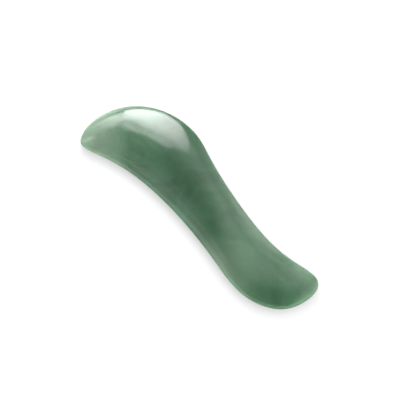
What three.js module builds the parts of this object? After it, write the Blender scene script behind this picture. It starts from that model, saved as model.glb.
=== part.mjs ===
// A gua sha scraper: one blade of polished green stone, 110 mm long, wavy in plan.
// A broad head hooks towards the near side, a waist follows, and a narrower tail swells at its end.
// The top is domed, the edge is rounded all the way round, and the underside is flat in the middle.
//
// Frame: +Z up, +X from head to tail, origin on the resting plane at the middle of the outline's box.
// All lengths are in millimetres.

import * as THREE from "three";
import { ParametricGeometry } from "three/addons/geometries/ParametricGeometry.js";

const EDGE_RADIUS = 1.25; // the scraping edge is part of a small circle in section
const EDGE_HEIGHT = 2.1; // of that circle's centre above the resting plane
const UNDERSIDE_REACH = 6; // from the outline in to the flat part of the underside
const SPINE_INSET = 0.21; // share of the ribs that lies beyond each end of the spine
const SPINE_EASE = 0.8; // how much the sections crowd together at the spine's ends
const OUTLINE_STEPS = 120;

const STONE = { color: 0x557a60, roughness: 0.12, metalness: 0 };

// Ribs cross the blade from its far side (+Y) to its near side (-Y), in order from head to tail.
// far and near are control points of the outline; crest is the height of the top along the spine.
const RIBS = [
  { far: [-57, -4], near: [-57, -4], crest: 6.6 }, // the head's tip
  { far: [-51.75, 11.6], near: [-51.7, -17.7], crest: 7 }, // the hook is on the near side
  { far: [-38, 19.5], near: [-44.5, -14.5], crest: 7.2 },
  { far: [-21.75, 19.5], near: [-27.5, -10.5], crest: 7.2 },
  { far: [-10.5, 13.5], near: [-6, -11.15], crest: 7 }, // shoulder
  { far: [17, 5], near: [18, -15], crest: 6.6 }, // waist
  { far: [38, 1.5], near: [37, -21], crest: 6.4 }, // the tail swells on the near side
  { far: [54.2, 6.3], near: [52.2, -15.5], crest: 6.2 },
  { far: [56, -4.6], near: [56, -4.6], crest: 6 }, // the tail's tip
];

// A closed, uniform cubic B-spline. Its points carry the crest height as z.
class ClosedSpline extends THREE.Curve {
  constructor(points) {
    super();
    this.points = points;
  }

  getPoint(t, target = new THREE.Vector3()) {
    const count = this.points.length;
    const place = (t % 1) * count;
    const first = Math.floor(place);
    const f = place - first;
    const weights = [
      (1 - f) ** 3 / 6,
      (3 * f ** 3 - 6 * f ** 2 + 4) / 6,
      (-3 * f ** 3 + 3 * f ** 2 + 3 * f + 1) / 6,
      f ** 3 / 6,
    ];
    target.set(0, 0, 0);
    weights.forEach((weight, i) => {
      target.addScaledVector(this.points.at((first + i - 1) % count), weight);
    });
    return target;
  }
}

// The outline runs from the head's tip down the far side to the tail's tip, and back up the near side.
function makeOutline() {
  const far = RIBS.map(({ far: [x, y], crest }) => new THREE.Vector3(x, y, crest));
  const near = RIBS.map(({ near: [x, y], crest }) => new THREE.Vector3(x, y, crest));
  return new ClosedSpline([...far, ...near.slice(1, -1).reverse()]);
}

const outline = makeOutline();

// Where the section through outline position t ends: a point of the spine, half way between the sides.
// Its z is the height of the crest there, which levels out towards both ends of the spine.
function crestPoint(t) {
  const along = t <= 0.5 ? 2 * t : 2 - 2 * t;
  const eased = along - (SPINE_EASE * Math.sin(2 * Math.PI * along)) / (2 * Math.PI);
  const rib = THREE.MathUtils.lerp(SPINE_INSET, 1 - SPINE_INSET, eased);
  const point = outline.getPoint(rib / 2).add(outline.getPoint(1 - rib / 2)).multiplyScalar(0.5);
  return point.setZ(outline.getPoint(eased / 2).z);
}

// The section through outline position t: where it lies in plan, and its two large arcs.
function sectionAt(t) {
  const rim = outline.getPoint(t).setZ(0);
  const tangent = outline.getTangent(t).setZ(0).normalize();
  const inward = new THREE.Vector3(tangent.y, -tangent.x, 0);
  const spine = crestPoint(t);
  const crest = spine.z;
  spine.z = 0;
  const reach = spine.clone().sub(rim).dot(inward);
  const top = arcTo(reach, crest, -1);
  const underside = arcTo(UNDERSIDE_REACH, 0, 1);
  return { rim, inward, spine, reach, top, underside };
}

// The large arc that touches the edge circle and becomes level at a given reach and height.
// bend is 1 if it curves upwards from there and -1 if downwards; tilt is its slope at the edge circle.
function arcTo(reach, height, bend) {
  const across = reach - EDGE_RADIUS;
  const rise = Math.abs(height - EDGE_HEIGHT);
  const radius = (across ** 2 + rise ** 2 - EDGE_RADIUS ** 2) / (2 * (rise - EDGE_RADIUS));
  const tilt = Math.asin(across / (radius - EDGE_RADIUS));
  return { reach, height, bend, radius, tilt };
}

// A point of a large arc, given its slope there. In plan it lies on the line from rim to spine.
function onArc(section, arc, slope, target) {
  const start = EDGE_RADIUS * (1 - Math.sin(arc.tilt));
  const inset = arc.reach - arc.radius * Math.sin(slope);
  const share = (inset - start) / (section.reach - start);
  target.copy(section.rim).addScaledVector(section.inward, start).lerp(section.spine, share);
  return target.setZ(arc.height + arc.bend * arc.radius * (1 - Math.cos(slope)));
}

function onTop(section, share, target) {
  onArc(section, section.top, section.top.tilt * share, target);
}

function onEdge(section, share, target) {
  const highest = Math.PI / 2 - section.top.tilt;
  const lowest = section.underside.tilt - Math.PI / 2;
  const angle = THREE.MathUtils.lerp(highest, lowest, share);
  target.copy(section.rim).addScaledVector(section.inward, EDGE_RADIUS * (1 - Math.cos(angle)));
  target.setZ(EDGE_HEIGHT + EDGE_RADIUS * Math.sin(angle));
}

function onUnderside(section, share, target) {
  onArc(section, section.underside, section.underside.tilt * (1 - share), target);
}

function onFlat(section, share, target) {
  onArc(section, section.underside, 0, target).lerp(section.spine, share);
}

// A section is walked from the crest out over the edge and back in beneath it.
const WALK = [
  { steps: 8, place: onTop },
  { steps: 6, place: onEdge },
  { steps: 4, place: onUnderside },
  { steps: 1, place: onFlat },
];
const WALK_STEPS = WALK.reduce((sum, { steps }) => sum + steps, 0);

function placeOnSkin(around, down, target) {
  const section = sectionAt(around % 1);
  let step = down * WALK_STEPS;
  for (const { steps, place } of WALK) {
    if (step <= steps) {
      place(section, step / steps, target);
      return;
    }
    step -= steps;
  }
}

function makeBlade() {
  const geometry = new ParametricGeometry(placeOnSkin, OUTLINE_STEPS, WALK_STEPS);
  geometry.computeBoundingBox();
  const middle = geometry.boundingBox.getCenter(new THREE.Vector3());
  geometry.translate(-middle.x, -middle.y, 0);
  const blade = new THREE.Mesh(geometry, new THREE.MeshStandardMaterial(STONE));
  blade.name = "stone_blade";
  return blade;
}

const scraper = new THREE.Group();
scraper.add(makeBlade());

export default scraper;
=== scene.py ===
import math

import bpy
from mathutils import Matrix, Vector


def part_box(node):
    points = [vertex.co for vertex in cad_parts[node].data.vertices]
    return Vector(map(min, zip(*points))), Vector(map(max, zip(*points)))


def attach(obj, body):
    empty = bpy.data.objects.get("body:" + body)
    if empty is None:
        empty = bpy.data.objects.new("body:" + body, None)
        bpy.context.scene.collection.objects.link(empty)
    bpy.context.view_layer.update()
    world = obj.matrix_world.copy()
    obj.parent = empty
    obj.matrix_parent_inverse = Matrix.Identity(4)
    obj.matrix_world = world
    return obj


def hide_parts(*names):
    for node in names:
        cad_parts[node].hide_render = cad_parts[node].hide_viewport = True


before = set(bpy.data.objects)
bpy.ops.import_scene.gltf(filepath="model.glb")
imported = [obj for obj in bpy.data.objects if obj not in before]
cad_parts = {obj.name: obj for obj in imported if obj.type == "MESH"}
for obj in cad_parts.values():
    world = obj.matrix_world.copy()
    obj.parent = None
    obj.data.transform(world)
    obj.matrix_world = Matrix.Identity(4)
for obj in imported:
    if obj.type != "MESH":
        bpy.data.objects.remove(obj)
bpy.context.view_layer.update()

# A polished green gua sha scraper on a white table. Metres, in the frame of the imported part:
# +Z up, +X from head to tail, origin on the resting plane at the middle of the blade.

MM = 0.001

# ---------------------------------------------------------------- the blade's shape

EDGE_RADIUS = 1.25 * MM  # the scraping edge is part of a small circle in section
EDGE_HEIGHT = 2.1 * MM  # of that circle's centre above the table
UNDERSIDE_REACH = 6 * MM  # from the outline in to the flat part of the underside
SPINE_INSET = 0.21  # share of the ribs that lies beyond each end of the spine
SPINE_EASE = 0.8  # how much the sections crowd together at the spine's ends

SECTIONS = 144  # cuts from the outline in to the spine, spread all the way round
DIRECTION_STEP = 1e-4  # share of the outline over which its direction is measured, to each side

# Steps along a section, before the skin is smoothed.
TOP_STEPS = 6
EDGE_STEPS = 6
UNDERSIDE_STEPS = 3
FLAT_STEPS = 3

WELD_GAP = 0.001 * MM  # points of the two sides that meet on the spine are joined within this
SMOOTHING = 2  # levels of subdivision

# Ribs from head to tail: far x, far y, near x, near y and crest height, in millimetres.
RIBS = [
    (-57, -4, -57, -4, 6.6),  # the head's tip
    (-51.75, 11.6, -51.7, -17.7, 7),
    (-38, 19.5, -44.5, -14.5, 7.2),
    (-21.75, 19.5, -27.5, -10.5, 7.2),
    (-10.5, 13.5, -6, -11.15, 7),
    (17, 5, 18, -15, 6.6),  # waist
    (38, 1.5, 37, -21, 6.4),
    (54.2, 6.3, 52.2, -15.5, 6.2),
    (56, -4.6, 56, -4.6, 6),  # the tail's tip
]


def make_outline():
    """Control points of the outline, down the far side and back up the near side, with the crest as z."""
    far = [Vector((x, y, crest)) * MM for x, y, _, _, crest in RIBS]
    near = [Vector((x, y, crest)) * MM for _, _, x, y, crest in RIBS]
    return far + near[-2:0:-1]


OUTLINE = make_outline()


def outline_point(t):
    """Point of the closed cubic B-spline at t, which runs once round from 0 to 1."""
    count = len(OUTLINE)
    place = (t % 1) * count
    first = int(place)
    f = place - first
    weights = (
        (1 - f) ** 3 / 6,
        (3 * f**3 - 6 * f**2 + 4) / 6,
        (-3 * f**3 + 3 * f**2 + 3 * f + 1) / 6,
        f**3 / 6,
    )
    return sum((OUTLINE[(first + i - 1) % count] * w for i, w in enumerate(weights)), Vector())


def in_plan(point):
    return Vector((point.x, point.y, 0))


def crest_point(t):
    """Where the section through outline position t meets the spine, at the height of the crest."""
    along = 2 * t if t <= 0.5 else 2 - 2 * t
    eased = along - SPINE_EASE * math.sin(2 * math.pi * along) / (2 * math.pi)
    rib = SPINE_INSET + (1 - 2 * SPINE_INSET) * eased
    point = (outline_point(rib / 2) + outline_point(1 - rib / 2)) / 2
    point.z = outline_point(eased / 2).z
    return point


class Arc:
    """A large arc that touches the edge circle and becomes level at a given reach and height."""

    def __init__(self, reach, height, bend):
        across = reach - EDGE_RADIUS
        rise = abs(height - EDGE_HEIGHT)
        self.reach = reach
        self.height = height
        self.bend = bend
        self.radius = (across**2 + rise**2 - EDGE_RADIUS**2) / (2 * (rise - EDGE_RADIUS))
        self.tilt = math.asin(across / (self.radius - EDGE_RADIUS))


class Section:
    """One cut through the blade, from the outline at t in to the spine."""

    def __init__(self, t):
        before, after = outline_point(t - DIRECTION_STEP), outline_point(t + DIRECTION_STEP)
        along = in_plan(after - before).normalized()
        crest = crest_point(t)
        self.rim = in_plan(outline_point(t))
        self.inward = Vector((along.y, -along.x, 0))
        self.spine = in_plan(crest)
        self.reach = (self.spine - self.rim).dot(self.inward)
        self.top = Arc(self.reach, crest.z, bend=-1)
        self.underside = Arc(UNDERSIDE_REACH, 0, bend=1)

    def on_arc(self, arc, slope):
        start = EDGE_RADIUS * (1 - math.sin(arc.tilt))
        inset = arc.reach - arc.radius * math.sin(slope)
        share = (inset - start) / (self.reach - start)
        point = (self.rim + self.inward * start).lerp(self.spine, share)
        point.z = arc.height + arc.bend * arc.radius * (1 - math.cos(slope))
        return point

    def on_edge(self, angle):
        point = self.rim + self.inward * EDGE_RADIUS * (1 - math.cos(angle))
        point.z = EDGE_HEIGHT + EDGE_RADIUS * math.sin(angle)
        return point


def shares(steps):
    """Even shares from 0 up to 1, without the 1 itself."""
    return [i / steps for i in range(steps)]


def section_points(t):
    """Points of a section from the crest out over the edge and back in beneath it."""
    section = Section(t)
    top, underside = section.top, section.underside
    highest = math.pi / 2 - top.tilt
    lowest = underside.tilt - math.pi / 2
    foot = section.on_arc(underside, 0)
    points = [section.on_arc(top, top.tilt * share) for share in shares(TOP_STEPS)]
    points += [section.on_edge(highest + (lowest - highest) * share) for share in shares(EDGE_STEPS)]
    points += [section.on_arc(underside, underside.tilt * (1 - share)) for share in shares(UNDERSIDE_STEPS)]
    points += [foot.lerp(section.spine, share) for share in shares(FLAT_STEPS)]
    return points + [section.spine]


def make_blade():
    """A skin of strips, one for each section, welded along the spine and smoothed."""
    columns = [section_points((i + 0.5) / SECTIONS) for i in range(SECTIONS)]
    rows = len(columns[0])
    points = [point for column in columns for point in column]
    faces = []
    for i in range(SECTIONS):
        here, there = i * rows, (i + 1) % SECTIONS * rows
        faces += [(here + j, there + j, there + j + 1, here + j + 1) for j in range(rows - 1)]
    mesh = bpy.data.meshes.new("blade")
    mesh.from_pydata(points, [], faces)
    for polygon in mesh.polygons:
        polygon.use_smooth = True
    blade = bpy.data.objects.new("blade", mesh)
    bpy.context.collection.objects.link(blade)
    weld = blade.modifiers.new("weld", "WELD")
    weld.merge_threshold = WELD_GAP
    smooth = blade.modifiers.new("smooth", "SUBSURF")
    smooth.levels = smooth.render_levels = SMOOTHING
    return blade


def put_on_node(piece, node):
    """Moves a piece level, so that the middle of its box is that of a CAD node's box."""
    low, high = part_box(node)
    for i in range(2):
        places = [vertex.co[i] for vertex in piece.data.vertices]
        piece.location[i] = (low[i] + high[i] - min(places) - max(places)) / 2


# ---------------------------------------------------------------- the stone

# Colour that changes lighter and darker in bands across the stone, at a heading that runs left to right as
# the camera sees it: distance across them in millimetres, and colour.
BANDS_HEADING = math.radians(45)
BANDS = [
    (-43, (0.185, 0.262, 0.192)),  # the head's pale tip
    (-38, (0.182, 0.272, 0.195)),
    (-34, (0.145, 0.248, 0.165)),
    (-29, (0.076, 0.158, 0.092)),
    (-18, (0.06, 0.142, 0.08)),
    (-11, (0.033, 0.089, 0.047)),  # the dark shoulder and waist
    (3, (0.037, 0.104, 0.053)),
    (9, (0.044, 0.114, 0.057)),
    (15, (0.056, 0.138, 0.071)),
    (25, (0.046, 0.118, 0.06)),
    (33, (0.062, 0.143, 0.079)),
    (42, (0.083, 0.168, 0.096)),  # the tail's tip
]
BANDS_DRIFT = 4 * MM  # how far the clouds push the bands to either side

# The pale green of the veins, also used for painted light on the near side, and a lighter green for painted
# light on the near side of the waist.
VEIN_AND_PAINTED_LIGHT_COLOR = (0.16, 0.25, 0.17, 1)
PAINTED_LIGHT_GREEN = (0.08, 0.22, 0.12, 1)
# Patches of painted light, a lighter colour where the stone's near side looks lit: the middle, core radius,
# outer radius, strength in the core, and colour.
PAINTED_LIGHT_PATCHES = [
    (Vector((27, -19, 0)) * MM, 5 * MM, 16 * MM, 0.7, VEIN_AND_PAINTED_LIGHT_COLOR),  # painted light on the near side, from waist to tail
    (Vector((-1, -14, 2)) * MM, 3 * MM, 11 * MM, 0.45, PAINTED_LIGHT_GREEN),  # painted light on the near side of the waist
]

VEIN_SPACING = 30 * MM
VEIN_WIDTH = 0.09  # as a difference from the noise's middle value, which the veins follow
VEIN_STRENGTH = 0.06

NOISE_MIDDLE = 0.5
NOISE_RANGE = (0.3, 0.7)  # where nearly all of a noise's values lie
CLOUD_SIZE = 22 * MM
CLOUD_SHADE = (0.86, 1.14)  # what the colour is multiplied by, at the two ends of the noise
WISP_SIZE = 6 * MM
WISP_SHADE = (0.92, 1.08)
WISP_ROUGHNESS = (0.08, 0.14)  # the stone's roughness, at the two ends of the noise
GRAIN_SIZE = 0.5 * MM
GRAIN_SHADE = (0.94, 1.06)

POLISH_WAVE = 12 * MM
POLISH_DEPTH = 0.03 * MM
REFRACTIVE_INDEX = 1.56
SCATTER_DEPTH = 7 * MM  # how far light spreads inside the stone
SCATTER_BY_COLOR = (0.7, 1, 0.7)  # share of that depth for red, green and blue


def add_noise(tree, place, size, detail, distortion=0):
    noise = tree.nodes.new("ShaderNodeTexNoise")
    noise.inputs["Scale"].default_value = 1 / size
    noise.inputs["Detail"].default_value = detail
    noise.inputs["Distortion"].default_value = distortion
    tree.links.new(place, noise.inputs["Vector"])
    return noise.outputs["Fac"]


def remap(tree, source, before, after):
    """A value carried from one range to another, and held at its ends."""
    node = tree.nodes.new("ShaderNodeMapRange")
    node.inputs["From Min"].default_value, node.inputs["From Max"].default_value = before
    node.inputs["To Min"].default_value, node.inputs["To Max"].default_value = after
    tree.links.new(source, node.inputs["Value"])
    return node.outputs["Result"]


def calculate(tree, operation, first, *others):
    """A Math node, whose later inputs are numbers or other nodes' values."""
    node = tree.nodes.new("ShaderNodeMath")
    node.operation = operation
    tree.links.new(first, node.inputs[0])
    for other, socket in zip(others, node.inputs[1:]):
        if isinstance(other, (int, float)):
            socket.default_value = other
        else:
            tree.links.new(other, socket)
    return node.outputs["Value"]


def compare_place(tree, place, operation, vector):
    """The place's DISTANCE from a point, or its DOT_PRODUCT with a direction."""
    node = tree.nodes.new("ShaderNodeVectorMath")
    node.operation = operation
    tree.links.new(place, node.inputs[0])
    node.inputs[1].default_value = vector
    return node.outputs["Value"]


def banded_color(tree, across):
    """The stone's colour at a distance across its bands."""
    start, end = BANDS[0][0] * MM, BANDS[-1][0] * MM
    colors = tree.nodes.new("ShaderNodeValToRGB")
    elements = colors.color_ramp.elements
    while len(elements) < len(BANDS):
        elements.new(0.5)  # moved to its own place below
    for element, (distance, color) in zip(elements, BANDS):
        element.position = (distance * MM - start) / (end - start)
        element.color = (*color, 1)
    tree.links.new(remap(tree, across, (start, end), (0, 1)), colors.inputs["Fac"])
    return colors.outputs["Color"]


def cloudy_color(tree, place, wisps):
    """The banded colour, made darker and lighter by clouds, wisps and grain."""
    clouds = add_noise(tree, place, CLOUD_SIZE, detail=3, distortion=0.8)
    grain = add_noise(tree, place, GRAIN_SIZE, detail=2)
    heading = (math.cos(BANDS_HEADING), math.sin(BANDS_HEADING), 0)
    across = compare_place(tree, place, "DOT_PRODUCT", heading)
    drift = remap(tree, clouds, NOISE_RANGE, (-BANDS_DRIFT, BANDS_DRIFT))
    body = banded_color(tree, calculate(tree, "ADD", across, drift))
    cloud_shade = remap(tree, clouds, NOISE_RANGE, CLOUD_SHADE)
    wisp_shade = remap(tree, wisps, NOISE_RANGE, WISP_SHADE)
    grain_shade = remap(tree, grain, NOISE_RANGE, GRAIN_SHADE)
    shade = calculate(tree, "MULTIPLY", calculate(tree, "MULTIPLY", cloud_shade, wisp_shade), grain_shade)
    shaded = tree.nodes.new("ShaderNodeVectorMath")
    shaded.operation = "SCALE"
    tree.links.new(body, shaded.inputs["Vector"])
    tree.links.new(shade, shaded.inputs["Scale"])
    return shaded.outputs["Vector"]


def mix(tree, share, color, other):
    """A colour with a varying share of another, which is the same everywhere."""
    node = tree.nodes.new("ShaderNodeMix")
    node.data_type = "RGBA"
    tree.links.new(share, node.inputs["Factor"])
    tree.links.new(color, node.inputs["A"])
    node.inputs["B"].default_value = other
    return node.outputs["Result"]


def veined_and_painted_light(tree, place, color):
    """The colour with a few broad pale veins, and with patches of painted light that make the near side
    paler.
    """
    folds = add_noise(tree, place, VEIN_SPACING, detail=4, distortion=2)
    from_vein = calculate(tree, "ABSOLUTE", calculate(tree, "SUBTRACT", folds, NOISE_MIDDLE))
    veins = remap(tree, from_vein, (0, VEIN_WIDTH), (VEIN_STRENGTH, 0))
    color = mix(tree, veins, color, VEIN_AND_PAINTED_LIGHT_COLOR)
    # Painted light: the near side made paler in patches.
    for middle, core, radius, strength, painted_light_color in PAINTED_LIGHT_PATCHES:
        distance = compare_place(tree, place, "DISTANCE", middle)
        color = mix(tree, remap(tree, distance, (core, radius), (strength, 0)), color, painted_light_color)
    return color


def polished_normal(tree, place):
    """The slight waviness that hand polishing leaves."""
    bump = tree.nodes.new("ShaderNodeBump")
    bump.inputs["Strength"].default_value = 1
    bump.inputs["Distance"].default_value = POLISH_DEPTH
    tree.links.new(add_noise(tree, place, POLISH_WAVE, detail=2), bump.inputs["Height"])
    return bump.outputs["Normal"]


def make_stone():
    """Polished green stone: translucent and cloudy, with oblique bands, fine grain and broad pale veins,
    and painted light that makes its near side paler.
    """
    stone = bpy.data.materials.new("polished green stone")
    stone.use_nodes = True
    tree = stone.node_tree
    place = tree.nodes.new("ShaderNodeTexCoord").outputs["Object"]
    wisps = add_noise(tree, place, WISP_SIZE, detail=4, distortion=1.5)
    shader = tree.nodes["Principled BSDF"]
    color = veined_and_painted_light(tree, place, cloudy_color(tree, place, wisps))
    tree.links.new(color, shader.inputs["Base Color"])
    tree.links.new(remap(tree, wisps, NOISE_RANGE, WISP_ROUGHNESS), shader.inputs["Roughness"])
    tree.links.new(polished_normal(tree, place), shader.inputs["Normal"])
    shader.inputs["IOR"].default_value = REFRACTIVE_INDEX
    shader.inputs["Subsurface Weight"].default_value = 1
    shader.inputs["Subsurface Radius"].default_value = SCATTER_BY_COLOR
    shader.inputs["Subsurface Scale"].default_value = SCATTER_DEPTH
    return stone


# ---------------------------------------------------------------- camera

AZIMUTH = math.radians(45.4)
ELEVATION = math.radians(55)
DISTANCE = 404 * MM
TARGET = Vector((-0.5, -1.7, 2)) * MM
FOCAL_LENGTH = 100  # this and the sensor's width are in Blender's unit for lenses, the millimetre
SENSOR_WIDTH = 36

# The camera's heading on the table, which the studio is laid out from.
RIGHT = Vector((math.cos(AZIMUTH), math.sin(AZIMUTH), 0))
AHEAD = Vector((-math.sin(AZIMUTH), math.cos(AZIMUTH), 0))
UP = Vector((0, 0, 1))


def make_camera():
    camera = bpy.data.objects.new("camera", bpy.data.cameras.new("camera"))
    bpy.context.collection.objects.link(camera)
    camera.data.lens = FOCAL_LENGTH
    camera.data.sensor_width = SENSOR_WIDTH
    towards_camera = UP * math.sin(ELEVATION) - AHEAD * math.cos(ELEVATION)
    camera.location = TARGET + towards_camera * DISTANCE
    camera.rotation_euler = towards_camera.to_track_quat("Z", "Y").to_euler()
    bpy.context.scene.camera = camera


# ---------------------------------------------------------------- table and studio light

WHITE = (1, 1, 1, 1)

TABLE_SIZE = 4000 * MM
TABLE_COLOR = (0.5, 0.5, 0.5, 1)
TABLE_ROUGHNESS = 0.9
TABLE_GLOW = 0.42

# Panels that glow around the table, each a flat polygon of corners (right, ahead, up) in millimetres.
# Across runs from the first corner towards the second, and upwards runs at right angles to that. Both
# are stops: a share of the panel's width or height, and what its strength is multiplied by there.
WALL = 200  # how far ahead of the blade the wall stands, in millimetres
BEHIND_WALL = WALL + 5  # for the wing, which the far reflector partly covers
CEILING = 350  # how high the ceiling is, in millimetres
EVEN = ((0, 1), (1, 1))
PANELS = {
    "back softbox": {
        "corners": [
            (-52, WALL, 8), (5, WALL, 8), (38, WALL, 30), (62, WALL, 65),
            (72, WALL, 100), (64, WALL, 135), (-40, WALL, 250), (-52, WALL, 250),
        ],
        "strength": 9.6,
        "across": ((0, 0.85), (0.2, 1.1), (0.35, 1.05), (0.5, 0.88), (0.75, 0.58), (1, 0.25)),
        "upwards": ((0, 0.65), (0.13, 1), (0.4, 1), (0.6, 0.65), (0.7, 0.4), (0.85, 0.45), (1, 0.2)),
    },
    "left softbox": {
        "corners": [
            (-178, WALL, 25), (-52, WALL, 25), (-52, WALL, 235), (-100, WALL, 265), (-178, WALL, 265),
        ],
        "strength": 6.4,
        "across": ((0, 0.2), (0.2, 0.25), (0.3, 0.4), (0.5, 0.75), (0.75, 1), (1, 1)),
        "upwards": ((0, 0.3), (0.12, 0.7), (0.3, 0.9), (0.7, 0.95), (1, 0.2)),
    },
    "side reflector": {
        "corners": [(-200, -40, 30), (-200, 165, 30), (-200, 165, CEILING), (-200, -40, CEILING)],
        "strength": 3.9,
        "across": ((0, 0.2), (0.17, 0.3), (0.4, 0.3), (0.53, 0.6), (0.67, 1), (0.83, 1), (1, 0.25)),
        "upwards": ((0, 0.2), (0.5, 1), (0.62, 0.9), (0.77, 0.35), (1, 0.2)),
    },
    "right reflector": {
        "corners": [(160, 60, 0), (90, -240, 0), (90, -240, 200), (160, 60, 200)],
        "strength": 2.6,
        "across": EVEN,
        "upwards": ((0, 1), (0.6, 0.8), (1, 0)),
    },
    "far reflector": {
        "corners": [
            (137, WALL, 0), (200, WALL, 0), (200, WALL, CEILING), (100, WALL, CEILING),
            (100, WALL, 190), (122, WALL, 130), (135, WALL, 90),
        ],
        "strength": 2.2,
        "across": ((0, 0.5), (0.2, 0.8), (0.35, 1), (0.8, 1), (1, 0.5)),
        "upwards": ((0, 1), (0.5, 0.8), (1, 0.6)),
    },
    "far reflector wing": {
        "corners": [
            (105, BEHIND_WALL, 0), (150, BEHIND_WALL, 0), (150, BEHIND_WALL, 120), (105, BEHIND_WALL, 120),
        ],
        "strength": 0.9,
        "across": EVEN,
        "upwards": EVEN,
    },
    "front reflector": {
        "corners": [(-60, -240, 40), (-215, 15, 40), (-215, 15, CEILING), (-60, -240, CEILING)],
        "strength": 1.5,
        "across": EVEN,
        "upwards": ((0, 1), (0.25, 1.5), (0.35, 1.5), (0.42, 0.3), (0.75, 0.35), (1, 0.5)),
    },
    "front softbox": {
        "corners": [(-160, -260, 20), (200, -260, 20), (200, -260, 180), (-160, -260, 180)],
        "strength": 3,
        "across": EVEN,
        "upwards": ((0, 1), (0.5, 1), (1, 0)),
    },
    "ceiling": {
        "corners": [
            (-230, -15, CEILING), (350, -40, CEILING), (350, 500, CEILING), (240, 480, CEILING),
            (140, 342, CEILING), (15, 203, CEILING), (-98, 114, CEILING), (-230, 50, CEILING),
        ],
        "strength": 2.2,
        "across": ((0, 0.35), (0.15, 0.6), (0.35, 1), (1, 1)),
        "upwards": ((0, 0.4), (0.45, 0.7), (1, 1)),
    },
}

# Glow of the room around the panels, by the height of the direction in which it is seen.
SURROUND = (
    (-1, 0.5), (0, 0.45), (0.3, 0.5), (0.45, 1.15), (0.6, 1.15),
    (0.67, 0.9), (0.79, 0.6), (0.88, 0.3), (1, 0.25),
)


def make_table():
    """A white table that glows a little, so that shadows on it stay pale."""
    bpy.ops.mesh.primitive_plane_add(size=TABLE_SIZE)
    table = bpy.context.object
    table.name = "table"
    acrylic = bpy.data.materials.new("white acrylic")
    acrylic.use_nodes = True
    shader = acrylic.node_tree.nodes["Principled BSDF"]
    shader.inputs["Base Color"].default_value = TABLE_COLOR
    shader.inputs["Roughness"].default_value = TABLE_ROUGHNESS
    shader.inputs["Specular IOR Level"].default_value = 0
    shader.inputs["Emission Color"].default_value = WHITE
    shader.inputs["Emission Strength"].default_value = TABLE_GLOW
    table.data.materials.append(acrylic)


def add_curve(tree, source, stops):
    """A value read off straight lines between stops."""
    node = tree.nodes.new("ShaderNodeFloatCurve")
    curve = node.mapping.curves[0]
    first, *middle, last = stops
    curve.points[0].location = first
    curve.points[1].location = last
    for stop in middle:
        curve.points.new(*stop)
    for point in curve.points:
        point.handle_type = "VECTOR"
    node.mapping.use_clip = False
    node.mapping.update()
    tree.links.new(source, node.inputs["Value"])
    return node.outputs["Value"]


def map_panel(mesh, points):
    """Gives each corner its share of the panel's width and height, as UV coordinates."""
    side = (points[1] - points[0]).normalized()
    normal = (points[1] - points[0]).cross(points[2] - points[1]).normalized()
    rise = normal.cross(side)
    uv = mesh.uv_layers.new(name="face")
    for axis, direction in enumerate((side, rise)):
        places = [(point - points[0]).dot(direction) for point in points]
        least, most = min(places), max(places)
        for corner, place in zip(uv.data, places):
            corner.uv[axis] = (place - least) / (most - least)


def make_glow(name, strength, across, upwards):
    """A light that varies over its panel, by the stops across it and upwards."""
    glow = bpy.data.materials.new(name)
    glow.use_nodes = True
    tree = glow.node_tree
    tree.nodes.clear()
    place = tree.nodes.new("ShaderNodeUVMap")
    split = tree.nodes.new("ShaderNodeSeparateXYZ")
    tree.links.new(place.outputs["UV"], split.inputs["Vector"])
    width_share = add_curve(tree, split.outputs["X"], across)
    height_share = add_curve(tree, split.outputs["Y"], upwards)
    share = calculate(tree, "MULTIPLY", width_share, height_share)
    emission = tree.nodes.new("ShaderNodeEmission")
    tree.links.new(calculate(tree, "MULTIPLY", share, strength), emission.inputs["Strength"])
    output = tree.nodes.new("ShaderNodeOutputMaterial")
    tree.links.new(emission.outputs["Emission"], output.inputs["Surface"])
    return glow


def make_panel(name, corners, strength, across, upwards):
    """A glowing panel that lights the stone and shows in its reflections, but not to the camera."""
    points = [(RIGHT * right + AHEAD * ahead + UP * up) * MM for right, ahead, up in corners]
    mesh = bpy.data.meshes.new(name)
    mesh.from_pydata(points, [], [range(len(points))])
    map_panel(mesh, points)
    mesh.materials.append(make_glow(name, strength, across, upwards))
    panel = bpy.data.objects.new(name, mesh)
    bpy.context.collection.objects.link(panel)
    panel.visible_camera = False


def make_surround():
    """A pale room, brightest about half way up and darker overhead."""
    world = bpy.data.worlds.new("studio")
    bpy.context.scene.world = world
    world.use_nodes = True
    tree = world.node_tree
    direction = tree.nodes.new("ShaderNodeTexCoord")
    split = tree.nodes.new("ShaderNodeSeparateXYZ")
    tree.links.new(direction.outputs["Generated"], split.inputs["Vector"])
    background = tree.nodes["Background"]
    background.inputs["Color"].default_value = WHITE
    tree.links.new(add_curve(tree, split.outputs["Z"], SURROUND), background.inputs["Strength"])


def make_studio():
    make_table()
    for name, panel in PANELS.items():
        make_panel(name, **panel)
    make_surround()
    bpy.context.scene.view_settings.view_transform = "Standard"


# ---------------------------------------------------------------- the scene

blade = make_blade()
put_on_node(blade, "stone_blade")
blade.data.materials.append(make_stone())
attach(blade, "root")
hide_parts("stone_blade")

make_camera()
make_studio()
